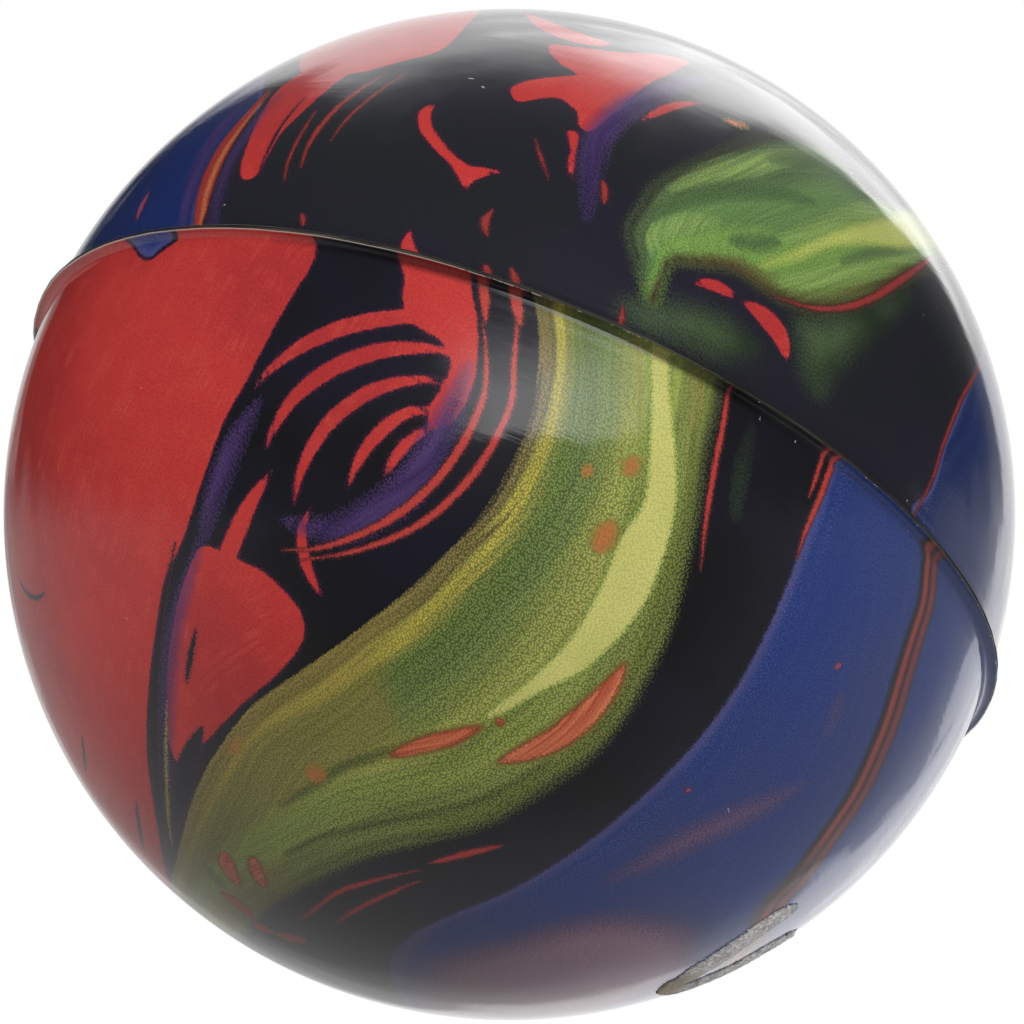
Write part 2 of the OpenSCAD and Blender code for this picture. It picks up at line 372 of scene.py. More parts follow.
# The print of the cup above the seam.
swirlTop = [(640, 262), (632, 232), (645, 205), (660, 185), (695, 165), (730, 150), (765, 138), (800, 137),
            (832, 152), (862, 182), (890, 205), (925, 222), (985, 222), (1060, 262)]
swirlBottom = [(652, 300), (668, 262), (700, 262), (735, 268), (765, 287), (790, 302), (820, 309), (850, 305),
               (885, 288), (920, 268), (965, 262), (1020, 275), (1070, 272)]
upperPrint = {
    "blue": [
        (0, [(184, 250), (195, 228), (198, 205), (207, 175), (222, 150), (240, 125), (262, 100), (250, 40),
             (120, -60), (-20, 60), (-60, 200), (-40, 330), (60, 300)]),
        (0, [(1000, 320), (978, 362), (965, 395), (950, 430), (943, 450), (930, 490), (912, 522), (960, 620),
             (1060, 640), (1130, 560), (1130, 420), (1060, 330)]),
    ],
    "red": [
        (0, [(243, 180), (240, 168), (245, 150), (250, 136), (263, 110), (282, 86), (318, 66), (366, 60),
             (335, 84), (305, 110), (281, 134), (266, 160), (256, 176)]),
        (0, [(300, 72), (312, 40), (322, 0), (350, -50), (398, -90), (440, -86), (470, -45), (486, 0),
             (478, 14), (470, 22), (445, 48), (400, 62), (350, 74)]),
        (0, [(434, 104), (420, 110), (417, 122), (424, 138), (438, 153), (452, 168), (461, 184), (466, 190),
             (474, 182), (486, 176), (502, 172), (488, 168), (470, 165), (456, 156), (443, 142), (434, 128),
             (431, 116)]),
        (0, [(511, 87), (535, 79), (560, 76), (577, 74), (560, 64), (548, 50), (553, 44), (580, 47),
             (620, 52), (660, 54), (690, 62), (672, 73), (650, 84), (632, 98), (612, 116), (598, 128),
             (588, 132), (579, 126), (576, 112), (568, 104), (556, 98), (538, 99), (517, 102)]),
        (0, [(524, 13), (542, 18), (562, 26), (590, 36), (612, 44), (596, 46), (572, 42), (550, 34),
             (534, 25)]),
        (6, [(706, 103), (683, 104), (662, 110), (640, 122)]),
        (0, [(567, 131), (579, 134), (577, 152), (575, 166), (572, 180), (567, 166), (570, 150)]),
        (7, [(692, 282), (716, 286), (738, 298)]),
        (11, [(742, 300), (764, 316), (780, 336), (788, 362)]),
        (0, [(400, 252), (404, 236), (411, 230), (415, 246), (424, 262), (410, 266)]),
    ],
    "dark": [
        (1.6, [(258, 176), (268, 150), (284, 122), (306, 96)]),
    ],
    "purple": [
        (15, [(587, 222), (590, 190), (592, 160), (602, 132), (626, 108), (660, 92), (710, 78)]),
        (7, [(210, 250), (214, 220), (221, 186), (236, 152), (258, 118), (282, 92)]),
        (10, [(178, 245), (186, 215), (194, 180), (208, 148), (232, 114), (262, 88)]),
    ],
    "moss": [
        (0, [(798, 322), (830, 317), (872, 305), (908, 292), (892, 318), (862, 345), (836, 374), (818, 396),
             (803, 372)]),
        (0, [(620, 306), (650, 300), (690, 304), (730, 320), (756, 350), (724, 360), (680, 342), (640, 326)]),
    ],
    "olive": [
        (12, [(672, 268), (700, 270), (740, 274), (780, 300)]),
    ],
    "lime": [
        (9, [(648, 250), (662, 232), (690, 222), (720, 220)]),
        (12, [(668, 190), (710, 174), (760, 162), (806, 154)]),
        (12, [(780, 240), (820, 226), (870, 214), (930, 214)]),
        (11, [(780, 284), (830, 276), (880, 260), (925, 252)]),
    ],
    "furrow": [
        (8, [(650, 216), (684, 200), (720, 192), (770, 192), (815, 202)]),
        (6, [(730, 240), (754, 243), (778, 242)]),
        (3, [(842, 262), (872, 253), (912, 247)]),
        (6, [(770, 160), (812, 160), (850, 178)]),
    ],
    "coral": [
        (4, [(724, 120), (738, 124), (748, 126)]),
    ],
    "green": [(0, swirlTop + swirlBottom[::-1])],
    "yellow": [
        (0, [(762, 266), (795, 251), (828, 236), (860, 225), (892, 217), (930, 212), (975, 226), (1000, 250),
             (955, 246), (915, 247), (885, 245), (852, 243), (822, 248), (796, 259)]),
    ],
    "ember": [
        (4, [(196, 250), (202, 216), (209, 185), (224, 152), (246, 121), (272, 92)]),
    ],
    "thread": [
        (11, [(194, 250), (200, 216), (207, 185), (222, 151), (244, 120), (272, 88)]),
        (2, [(284, 184), (288, 162), (300, 136), (318, 108)]),
        (2, [(330, 142), (346, 120), (370, 98), (408, 72)]),
        (4, [(510, 266), (516, 282), (520, 300)]),
        (1.6, [(535, 137), (541, 158), (550, 182)]),
    ],
    "vein": [
        (3.4, [(300, 170), (308, 146), (324, 122), (346, 100), (388, 72)]),
        (4, [(934, 256), (895, 284), (872, 298), (846, 307), (814, 308), (770, 296)]),
        (3.4, [(602, 178), (605, 192), (604, 206)]),
        (4, [(494, 208), (485, 222), (488, 238)]),
        (4, [(484, 262), (488, 275), (486, 292)]),
        (3, [(622, 305), (622, 318), (618, 330)]),
        (2.6, [(985, 352), (965, 392), (945, 440), (932, 480), (905, 530)]),
        (5, [(150, 190), (142, 205), (136, 222)]),
        (3, [(301, 212), (303, 220), (304, 228)]),
    ],
    "wear": [
        (0.8, [(850, 170), (853, 176)]),
        (0.9, [(936, 304), (938, 310)]),
        (0.9, [(922, 312), (925, 317)]),
        (0.8, [(222, 204), (226, 205)]),
        (0.7, [(468, 78), (476, 79)]),
        (0.7, [(480, 84), (486, 90)]),
        (0.7, [(690, 154), (693, 152)]),
        (0.8, [(905, 498), (908, 502)]),
    ],
    "blush": [
        (14, [(1010, 470), (1005, 500), (1000, 530)]),
        (12, [(160, 140), (135, 175), (110, 215)]),
    ],
    "guides": [swirlTop, [(765, 258), (825, 237), (905, 229)], [(191, 246), (205, 185), (242, 122)],
               [(587, 215), (600, 130), (700, 72)], [(978, 362), (943, 450), (912, 522)],
               [(430, 100), (442, 155), (470, 192)]],
    "greenSides": (swirlTop, swirlBottom),
}
inks = ["blue", "blush", "red", "dark", "purple", "moss", "green", "olive", "lime", "furrow", "gold",
        "yellow", "smudge", "coral", "thread", "vein", "ember", "cord", "smear", "wear"]
# The thin ones, whose middle line has to be exact.
lineInks = ["dark", "furrow", "gold", "thread", "vein", "ember", "cord", "wear"]
print("upper print drawn")


# A print's fields at some directions. Each ink has its outlines' field, then its strokes' two. The place
# across the green runs from one side (0) to the other (1), and the flow is the millimetres off and along the
# nearest line of flow.
def printFields(directions, design):
    fields = {}
    for ink in inks:
        shapes = design.get(ink, [])
        outlines = [outlineField(directions, pixels) for half, pixels in shapes if half == 0]
        field = np.tile([-farOff, 0, -farOff], (len(directions), 1))
        if outlines:
            field[:, 0] = np.max(outlines, axis=0)
        for half, pixels in shapes:
            if half > 0:
                stroke = strokeFields(directions, half, pixels)
                wins = stroke[:, 1] - np.abs(stroke[:, 0]) > field[:, 2] - np.abs(field[:, 1])
                field[wins, 1:] = stroke[wins]
        fields[ink] = field
    left, right = (np.abs(nearestOn(directions, curveThrough(side))[0]) for side in design["greenSides"])
    fields["across"] = left / (left + right + 1e-9)
    best = np.full(len(directions), 1e9)
    fields["flow"] = np.zeros((len(directions), 3))
    for number, guide in enumerate(design["guides"]):
        off, travelled, length, overrun = nearestOn(directions, curveThrough(guide))
        nearer = np.abs(off) < best
        best[nearer] = np.abs(off)[nearer]
        fields["flow"][nearer] = np.stack([off, travelled, 0 * off + 40 * number], axis=1)[nearer]
    return fields


border = {
    "angle": radians(104),  # from the camera's direction
    "waves": [(3, 1, radians(5)), (7, 0, radians(2))],      # how many round the ball, phase and size
    "drawIn": (-6, 5),      # where a print starts and ends to draw in, in millimetres past the border
    "drawnIn": 1.35,        # how far it draws in, as a share of farOff
}


# One cup's print all round. The side away from the camera carries the other cup's print after a half turn
# about X. On both sides of a wavy border past the outline each print draws in by more than farOff over some
# millimetres, so that its shapes end in round tongues, as inks on a bath do.
def wholePrint(directions, design, otherDesign):
    front = printFields(directions, design)
    back = printFields(directions * (1, -1, -1), otherDesign)
    angle = np.arccos(np.clip(directions @ toCamera, -1, 1))
    clock = np.arctan2(directions @ imageDown, directions @ imageRight)
    line = border["angle"]
    for count, phase, size in border["waves"]:
        line = line + size * np.sin(count * clock + phase)
    past = (angle - line) * ballRadius

    # A smooth step of the loss, from none to the most.
    def drawnIn(start, end):
        part = np.clip((past - start) / (end - start), 0, 1)
        return border["drawnIn"] * farOff * part * part * (3 - 2 * part)

    start, end = border["drawIn"]
    frontLoss, backLoss = drawnIn(start, end), drawnIn(-start, -end)
    fields = {}
    for ink in inks:
        ahead, rear = front[ink], back[ink]
        outline = np.maximum(ahead[:, 0] - frontLoss, rear[:, 0] - backLoss)
        aheadHalf, rearHalf = ahead[:, 2] - frontLoss, rear[:, 2] - backLoss
        wins = aheadHalf - np.abs(ahead[:, 1]) > rearHalf - np.abs(rear[:, 1])
        off, half = np.where(wins, ahead[:, 1], rear[:, 1]), np.where(wins, aheadHalf, rearHalf)
        if ink in lineInks:
            fields[ink] = np.stack([outline, off, half], axis=1)
        else:
            fields[ink] = np.clip(np.maximum(outline, half - np.abs(off)), -farOff, farOff)
    greener = front["green"][:, 0] - frontLoss >= back["green"][:, 0] - backLoss
    fields["across"] = np.where(greener, front["across"], back["across"])
    fields["flow"] = np.where(past[:, None] > 0, back["flow"], front["flow"])
    return fields


# A closed mesh from a grid of closed rings between two single end points. The sum of each face's own
# direction against its place from the middle tells whether the faces point in, and then they are turned.
def closedMesh(name, rows, first, last):
    count, columns = rows.shape[:2]
    points = np.concatenate([first[None], rows.reshape(-1, 3), last[None]]) * mm
    near = 1 + np.arange(count - 1)[:, None] * columns + np.arange(columns)[None, :]
    turned = 1 + np.arange(count - 1)[:, None] * columns + (np.arange(columns)[None, :] + 1) % columns
    quads = np.stack([near, near + columns, turned + columns, turned], axis=2).reshape(-1, 4)
    ring = np.arange(columns)
    after = (ring + 1) % columns
    bottom = 1 + (count - 1) * columns
    startFan = np.stack([np.zeros_like(ring), 1 + ring, 1 + after], axis=1)
    endFan = np.stack([bottom + after, bottom + ring, np.full_like(ring, len(points) - 1)], axis=1)
    a, b, c = points[quads[:, 0]], points[quads[:, 1]], points[quads[:, 2]]
    if np.einsum("ij,ij->", a - points.mean(axis=0), np.cross(b - a, c - a)) < 0:
        startFan, quads, endFan = startFan[:, ::-1], quads[:, ::-1], endFan[:, ::-1]
    mesh = bpy.data.meshes.new(name)
    mesh.from_pydata(points.tolist(), [], startFan.tolist() + quads.tolist() + endFan.tolist())
    mesh.polygons.foreach_set("use_smooth", [True] * len(mesh.polygons))
    mesh.update()
    piece = bpy.data.objects.new(name, mesh)
    bpy.context.scene.collection.objects.link(piece)
    return piece


# Puts one value, or three, for each vertex into a mesh as a named attribute.
def storeField(mesh, name, values):
    if values.ndim == 1:
        mesh.attributes.new(name, "FLOAT", "POINT").data.foreach_set("value", values.astype(np.float32))
    else:
        attribute = mesh.attributes.new(name, "FLOAT_VECTOR", "POINT")
        attribute.data.foreach_set("vector", values.astype(np.float32).ravel())


skin = {
    "columns": 576,
    "outerRows": 128,       # from the pole to the lip's root
    "flankRows": 9,
    "innerRows": 8,
    "lipRoot": 0.41,        # height of the lip's root over the seam plane
    "lipEdge": 0.115,       # height of the blunt edge's outer corner
    "hollow": (0.1, 0.06),  # how far the flank sinks below a straight line, inwards and down
    "crest": 0.035,         # the film's slight swelling just before the lip
    "crestAt": 0.75,        # height of that swelling's middle
    "crestHalf": 0.45,      # from its middle to where it ends
    "foldTop": 0.6,         # height to which painted shade darkens the lower cup's fold
    "bevel": 0.012,         # of the blunt edge's two corners
    "trim": 0.05,           # most that the trimmed edge falls short of the ridge
    "trimWaves": [2, 5, 11, 23, 47, 90],    # how many waves of it go round
    "sag": 0.02,            # how far the lip strays up and down
    "sagWaves": [3, 7, 17, 31],
    "inset": 0.002,         # how far the film lies inside the ball's nominal surface
    "jointGap": 0.003,      # clearance between film and cement
    "jointSteps": (0.4, 0.02),      # where the flat joint has points, outside the core
    "still": 0.02,          # height over the joint up to which nothing strays
    "innerGap": 0.01,       # clearance between film and core
    # Shares of the radius along X where the painted shade in the fold and the crest's wear with its painted
    # highlight start or end, over how far they grow or shrink, and how little is left. The last is how far
    # back along Y the crest's wear and highlight reach.
    "foldShadeStart": (-0.62, 0.25),
    "foldShadeEnd": (0.5, 0.2, 0.3),
    "wearAndHighlightEnd": (-0.05, 0.6, -0.15),
    "wearAndHighlightBack": 0.6,
}


# A wavy value round the axis: a sum of a few sines with fixed random phases, between about -1 and 1.
def ripple(angles, waves):
    phases = random.uniform(0, 2 * pi, len(waves))
    return sum(np.sin(wave * angles + phase) for wave, phase in zip(waves, phases)) / len(waves) ** 0.5 / 1.4


# A cup of film: a profile in radius and height turned about the axis. It runs over the ball from the pole,
# along the lip's hollow flank, round the blunt edge, back along the flat joint and up the inner wall.
def filmCup(name, side):
    turn = np.arange(skin["columns"]) / skin["columns"] * 2 * pi
    rootAngle = asin(skin["lipRoot"] / ballRadius)
    lift = np.linspace(pi / 2, rootAngle, skin["outerRows"] + 1)[1:]
    fromCrest = np.clip((lift * ballRadius - skin["crestAt"]) / skin["crestHalf"], -1, 1)
    swell = 1 - (1 - np.cos(fromCrest * pi)) / 2
    radius = ballRadius - skin["inset"] + skin["crest"] * swell
    outer = np.stack([radius * np.cos(lift), radius * np.sin(lift)], axis=1)
    part = np.linspace(0, 1, skin["flankRows"] + 1)[1:]
    root, edge = outer[-1], np.array([ridgeRadius, skin["lipEdge"]])
    flank = root + part[:, None] * (edge - root) - (4 * part * (1 - part))[:, None] * skin["hollow"]
    low, bevel = jointHalf + skin["jointGap"], skin["bevel"]
    blunt = [[ridgeRadius, skin["lipEdge"] - bevel], [ridgeRadius, low + bevel], [ridgeRadius - bevel, low]]
    flat = [[coreRadius + step, low] for step in skin["jointSteps"]]
    innerLift = np.linspace(0.003, pi / 2, skin["innerRows"] + 1)[:-1]
    innerRadius = coreRadius + skin["innerGap"]
    inner = np.stack([innerRadius * np.cos(innerLift), innerRadius * np.sin(innerLift) + low], axis=1)
    profile = np.concatenate([outer, flank, blunt, flat, inner])
    share = np.clip((profile[:, 0] - ballRadius) / (ridgeRadius - ballRadius), 0, 1)[:, None]
    cut = 0.5 + 0.5 * ripple(turn, skin["trimWaves"])[None, :]
    distance = profile[:, :1] - skin["trim"] * share * np.clip(cut, 0, 1)
    sag = skin["sag"] * ripple(turn, skin["sagWaves"])[None, :] * share
    height = np.maximum(profile[:, 1:] + sag * (profile[:, 1:] > low + skin["still"]), low)
    rows = np.stack([distance * np.cos(turn), distance * np.sin(turn), height + 0 * turn], axis=2)
    first, last = np.array([0, 0, ballRadius - skin["inset"]]), np.array([0, 0, innerRadius + low])
    if side < 0:
        rows, first, last = rows[:, ::-1] * (1, 1, -1), first * (1, 1, -1), last * (1, 1, -1)
    piece = closedMesh(name, rows, first, last)
    points = np.concatenate([first[None], rows.reshape(-1, 3), last[None]])
    directions = points / np.linalg.norm(points, axis=1)[:, None]
    designs = (upperPrint, lowerPrint) if side > 0 else (lowerPrint, upperPrint)
    for field, values in wholePrint(directions, *designs).items():
        storeField(piece.data, field, values)
    # Each point's place on the flat sheet that the film was formed from, as the equal-area map from the pole.
    sheet = directions * (1, 1, 0) * np.sqrt(2 / (1 + np.abs(directions[:, 2:]))) * ballRadius
    storeField(piece.data, "sheet", sheet)
    onOuter = np.arange(len(profile)) < len(outer) + len(flank)
    raw = 1.0 * (np.arange(len(profile)) >= len(outer) + len(flank) - 1)
    foldTop = skin["foldTop"] if side < 0 else skin["lipRoot"]
    for field, values in {"lip": share[:, 0] * onOuter, "raw": raw}.items():
        storeField(piece.data, field, np.concatenate([[0], np.repeat(values, skin["columns"]), [0]]))
    # The fold's painted shade is less at both ends of the seam's visible run, and the crest's wear and
    # painted highlight are more at the left.
    # Painted shade where the lips overhang the fold at the seam.
    fold = np.clip((foldTop - np.abs(points[:, 2])) / 0.05, 0, 1)
    right = directions[:, 0]
    start, grows = skin["foldShadeStart"]
    end, shrinks, least = skin["foldShadeEnd"]
    fold = fold * np.clip((right - start) / grows, 0, 1) * np.clip((end - right) / shrinks, least, 1)
    storeField(piece.data, "fold", fold)
    # Wear with a painted highlight along the crest: more at the left and on the -Y side.
    end, shrinks, least = skin["wearAndHighlightEnd"]
    nearer = np.clip(skin["wearAndHighlightBack"] - directions[:, 1], 0, 1)
    crestWearAndHighlight = np.clip((end - right) / shrinks, least, 1) * nearer
    storeField(piece.data, "crestWearAndHighlight", crestWearAndHighlight)
    print(name, "made with", len(piece.data.polygons), "faces")
    return piece


film = {
    "dotPitch": 0.15,       # from dot to dot, a little coarser than the real 0.13, so that the dots show
    "relief": 0.005,        # height of the clear film's orange peel and rolling lines
    "finish": {"Roughness": 0.42, "IOR": 1.5, "Specular IOR Level": 0.25, "Coat Weight": 1.0,
               "Coat Roughness": 0.05, "Coat IOR": 1.5},
    # Ink colours, and for the blush also how far inside its outline each starts, in millimetres.
    "blueDots": "#6f84bf",
    "blueShadow": "#241d3c",
    "blueRim": "#514a7c",
    "blush": [("#4b3c63", 0.3), ("#6b4f6e", 1.1), ("#8a6878", 2.1)],
    "reds": ("#b5312e", "#a52b2c", "#c04339"),
    "redFringe": "#431a32",
    "dark": "#17151f",
    "darkFringe": "#4e1d33",
    "violets": ("#342450", "#4d3769"),
    "greenDots": "#b8b16c",
    "greenEdge": "#2f321e",
    "gold": "#8d8346",
    "yellowRim": "#7a9440",
    "corals": ("#ab4e35", "#cf7752"),
    "coralEdge": "#6a3a24",
    "coralGlow": "#8c7436",
    "smudge": "#b9683c",
    "veinOnGreen": "#a84a32",
    "veinOnBlue": "#824468",
    "veinEdge": "#4e2024",
    "ember": "#ac613b",
    "smear": "#3a3234",
    "specks": "#b5b3ae",
    "cutEdge": "#2b2826",
    # cream of the worn crest, which also stands in as a painted highlight
    "wornCrestAndHighlight": "#b9b2a6",
}
# What differs between the two prints. The upper film's inks are softer, and its dots hardly show. The greens
# are a row of tones from one side of the band to the other.
upperInks = {
    "bath": ("#1f2125", "#21202b"),
    "blues": ("#132762", "#1b2a58"),
    "blueEdge": 0.1,
    "vein": "#8c302d",
    "yellow": ("#b3ba5e", "#a2ad55"),
    "lime": "#7c9650",
    "furrow": "#47603a",
    "warm": "#6b5a34",
    "moss": ("#27371f", "#46593a"),
    "dots": 0.18,
    "feather": 0.6,
    "crispness": 1.0,
    "greens": [(0.0, "#363f30"), (0.1, "#566a45"), (0.25, "#4c643e"), (0.4, "#5f8048"), (0.55, "#597a44"),
               (0.7, "#6f9246"), (0.84, "#6d8e44"), (0.94, "#5c6434"), (1.0, "#46321f")],
}
lowerInks = {
    "bath": ("#151518", "#191824"),
    "blues": ("#1b3377", "#2a386c"),
    "blueEdge": 0.35,
    "vein": "#ac3a34",
    "yellow": ("#c2c070", "#b8b868"),
    "lime": "#869648",
    "furrow": "#4e592a",
    "warm": "#86793c",
    "moss": ("#202a20", "#34442c"),
    "dots": 0.66,
    "feather": 0.15,
    "crispness": 5.0,
    "greens": [(0.0, "#433b2a"), (0.02, "#74673c"), (0.045, "#6c6237"), (0.065, "#645d30"),
               (0.085, "#857f3f"), (0.11, "#a69d42"), (0.135, "#a0973f"), (0.16, "#82843e"),
               (0.19, "#667236"), (0.23, "#5b6f36"), (0.3, "#5c6f3b"), (0.38, "#687a42"), (0.46, "#7b8644"),
               (0.56, "#989c50"), (0.66, "#758340"), (0.73, "#8d984b"), (0.79, "#737f40"),
               (0.85, "#7d8746"), (0.9, "#6c7638"), (0.94, "#636d33"), (0.975, "#576031"), (1.0, "#40452c")],
}


# The long double line over the blue, as a row of tones from its left edge to its right.
cordColours = [(0.0, "#202a4c"), (0.1, "#1f1e2b"), (0.2, "#372128"), (0.31, "#8a3c38"), (0.42, "#7e3534"),
               (0.5, "#45202a"), (0.56, "#3d2028"), (0.66, "#70343a"), (0.78, "#6c323a"), (0.9, "#3b2a42"),
               (1.0, "#2c3968")]


# Printed PVC film, reverse printed with stochastic dots and heat-formed: the eye sees grainy ink under a
# smooth clear gloss, with hard-edged inks in some places and inks that fade out in dots in others.
def printedFilm(name, look):
    material, tree, shader, place = newMaterial(name, film["finish"])
    field = {ink: addNode(tree, "Attribute", attribute_name=ink).outputs["Fac"]
             for ink in inks + ["across", "lip", "raw", "fold", "crestWearAndHighlight"] if ink not in lineInks}
    for ink in lineInks:
        parts = addNode(tree, "Attribute", attribute_name=ink).outputs["Vector"]
        parts = addNode(tree, "SeparateXYZ", {0: parts}).outputs
        off = addNode(tree, "Math", {0: parts[1]}, operation="ABSOLUTE")
        stroke = addNode(tree, "Math", {0: parts[2], 1: off}, operation="SUBTRACT")
        field[ink] = addNode(tree, "Math", {0: parts[0], 1: stroke}, operation="MAXIMUM").outputs[0]
        if ink == "cord":
            acrossCord = addNode(tree, "Math", {0: parts[1], 1: parts[2]}, operation="DIVIDE")
    flow = addNode(tree, "Attribute", attribute_name="flow").outputs["Vector"]

    sheet = addNode(tree, "Attribute", attribute_name="sheet").outputs["Vector"]
    dots = addNode(tree, "TexVoronoi", {"Vector": sheet, "Scale": 1 / film["dotPitch"], "Randomness": 0.85},
                   voronoi_dimensions="2D")
    grain = addNode(tree, "MapRange", {"Value": dots, "From Min": 0.03, "From Max": 0.56,
                                       "To Min": 0.5, "To Max": -0.5})
    waver = addNode(tree, "TexNoise", {"Vector": place, "Scale": 1.6, "Detail": 3.0})
    waver = addNode(tree, "MapRange", {"Value": waver, "From Min": 0.2, "From Max": 0.8,
                                       "To Min": -0.05, "To Max": 0.05})
    for ink in inks:
        field[ink] = addNode(tree, "Math", {0: field[ink], 1: waver}, operation="ADD").outputs[0]

    # Streaks along the flow, coarse and fine, made less even by a slow swirl of their place.
    swirl = addNode(tree, "TexNoise", {"Vector": place, "Scale": 1 / 7.0, "Detail": 1.0}).outputs["Color"]
    swirl = addNode(tree, "VectorMath", {0: swirl, 1: (1.5, 1.5, 0.0), 2: flow}, operation="MULTIPLY_ADD")
    combed = addNode(tree, "VectorMath", {0: swirl, 1: (1.5, 0.09, 1.0)}, operation="MULTIPLY")
    streaks = clouds(tree, combed, 1.0, 0.35, 0.65, 3.0)
    fineCombed = addNode(tree, "VectorMath", {0: swirl, 1: (4.0, 0.12, 1.0)}, operation="MULTIPLY")
    fineStreaks = clouds(tree, fineCombed, 1.0, 0.38, 0.64, 2.0)

    # Black bath with a faint violet cast in patches.
    ground = addNode(tree, "MixRGB", {0: clouds(tree, place, 9.0), 1: linear(look["bath"][0]),
                                      2: linear(look["bath"][1])})

    # Blue: pale streaked dots near its edge and along the flow, a violet-grey cast in wide patches,
    # red-violet drifts, and a pale violet rim.
    blue = addNode(tree, "MixRGB", {0: clouds(tree, place, 14.0, 0.4, 0.62), 1: linear(look["blues"][0]),
                                    2: linear(look["blues"][1])})
    nearEdge = addNode(tree, "MapRange", {"Value": field["blue"], "From Min": 2.2, "From Max": 0.3,
                                          "To Min": 0.3, "To Max": 1.0})
    paleDots = addNode(tree, "MapRange", {"Value": grain, "From Min": -0.1, "From Max": 0.4, "To Max": 0.42})
    paleDots = addNode(tree, "Math", {0: paleDots, 1: streaks}, operation="MULTIPLY")
    paleDots = addNode(tree, "Math", {0: paleDots, 1: nearEdge}, operation="MULTIPLY")
    blue = addNode(tree, "MixRGB", {0: paleDots, 1: blue, 2: linear(film["blueDots"])})
    for colour, shrink in film["blush"]:
        blue = layInk(tree, blue, linear(colour), field["blush"], grain, 0.9, 0.9, -shrink)
    ground = layInk(tree, ground, linear(film["blueShadow"]), field["blue"], grain, 0.15, 0.1, 0.12)
    ground = layInk(tree, ground, linear(film["blueRim"]), field["blue"], grain, 0.1, 0.1, 0.0)
    ground = layInk(tree, ground, blue, field["blue"], grain, 0.1 + look["blueEdge"], look["blueEdge"], -0.2)

    # Red: a little duller in wide patches, brighter in streaks, with a dotted plum fringe where it meets the
    # dark inks.
    red, dullRed, brightRed = (linear(colour) for colour in film["reds"])
    red = addNode(tree, "MixRGB", {0: clouds(tree, place, 13.0), 1: red, 2: dullRed})
    brighter = addNode(tree, "Math", {0: clouds(tree, place, 1.4, 0.45, 0.8, 4.0), 1: fineStreaks},
                       operation="MULTIPLY")
    red = addNode(tree, "MixRGB", {0: brighter, 1: red, 2: brightRed})
    ground = layInk(tree, ground, linear(film["redFringe"]), field["red"], grain, 0.24, 0.08, 0.1)
    ground = layInk(tree, ground, red, field["red"], grain, 0.06, 0.06, -0.04)

    # Dark veins over the red, with the same fringe.
    ground = layInk(tree, ground, linear(film["darkFringe"]), field["dark"], grain, 0.3, 0.06, 0.1)
    ground = layInk(tree, ground, linear(film["dark"]), field["dark"], grain, 0.1, 0.05)

    # Violet that fades out in dots.
    violet = addNode(tree, "MixRGB", {0: streaks, 1: linear(film["violets"][0]),
                                      2: linear(film["violets"][1])})
    ground = layInk(tree, ground, violet, field["purple"], grain, 0.8, 0.55)

    # Green: a row of tones from one side of the band to the other, pulled into streaks, warmer in one part,
    # paler and darker along some strokes, and broken into dots.
    moss = addNode(tree, "MixRGB", {0: clouds(tree, place, 7.0), 1: linear(look["moss"][0]),
                                    2: linear(look["moss"][1])})
    ground = layInk(tree, ground, moss, field["moss"], grain, 0.8, 1.0, -0.2)
    pull = addNode(tree, "Math", {0: streaks, 1: 0.05, 2: field["across"]}, operation="MULTIPLY_ADD")
    pull = addNode(tree, "Math", {0: pull, 1: 0.025}, operation="SUBTRACT")
    tones = addNode(tree, "ValToRGB", {"Fac": pull})
    cordPlace = addNode(tree, "MapRange", {"Value": acrossCord, "From Min": -1.0, "From Max": 1.0})
    cordTones = addNode(tree, "ValToRGB", {"Fac": cordPlace})
    for ramp, colours in ((tones, look["greens"]), (cordTones, cordColours)):
        stops = ramp.color_ramp.elements
        for i, (position, code) in enumerate(colours):
            stop = stops[i] if i < 2 else stops.new(position)
            stop.position = position
            stop.color = linear(code)
    warmth = addNode(tree, "MapRange", {"Value": field["olive"], "From Min": -0.9, "From Max": 0.9,
                                        "To Max": 0.6})
    green = addNode(tree, "MixRGB", {0: warmth, 1: tones, 2: linear(look["warm"])})
    green = layInk(tree, green, linear(look["lime"]), field["lime"], fineStreaks, 0.5, 0.7, -0.3)
    green = layInk(tree, green, linear(look["furrow"]), field["furrow"], fineStreaks, 0.3 + look["feather"],
                   0.2 + look["feather"], -0.1)

    # Its dots: pale on a darker green, weaker near the seam, where the film is stretched, and in the warm
    # part.
    fromSeam = addNode(tree, "SeparateXYZ", {0: place}).outputs[2]
    fromSeam = addNode(tree, "Math", {0: fromSeam}, operation="ABSOLUTE")
    contrast = addNode(tree, "MapRange", {"Value": fromSeam, "From Min": 1.5, "From Max": 9.0,
                                          "To Min": 0.3 * look["dots"], "To Max": look["dots"]})
    calm = addNode(tree, "MapRange", {"Value": field["olive"], "From Min": -2.5, "From Max": 1.0,
                                      "To Min": 1.0, "To Max": 0.5})
    contrast = addNode(tree, "Math", {0: contrast, 1: calm}, operation="MULTIPLY")
    pale = addNode(tree, "MapRange", {"Value": grain, "From Min": 0.05, "From Max": 0.45, "To Max": 0.32})
    pale = addNode(tree, "Math", {0: pale, 1: contrast}, operation="MULTIPLY")
    green = addNode(tree, "MixRGB", {0: pale, 1: green, 2: linear(film["greenDots"])})
    dotShade = addNode(tree, "Math", {0: grain, 1: contrast, 2: 1.0}, operation="MULTIPLY_ADD")
    shade = addNode(tree, "MapRange", {"Value": fineStreaks, "To Min": 0.9, "To Max": 1.12})
    shade = addNode(tree, "Math", {0: shade, 1: dotShade}, operation="MULTIPLY")
    green = addNode(tree, "VectorMath", {0: green, "Scale": shade}, operation="SCALE")

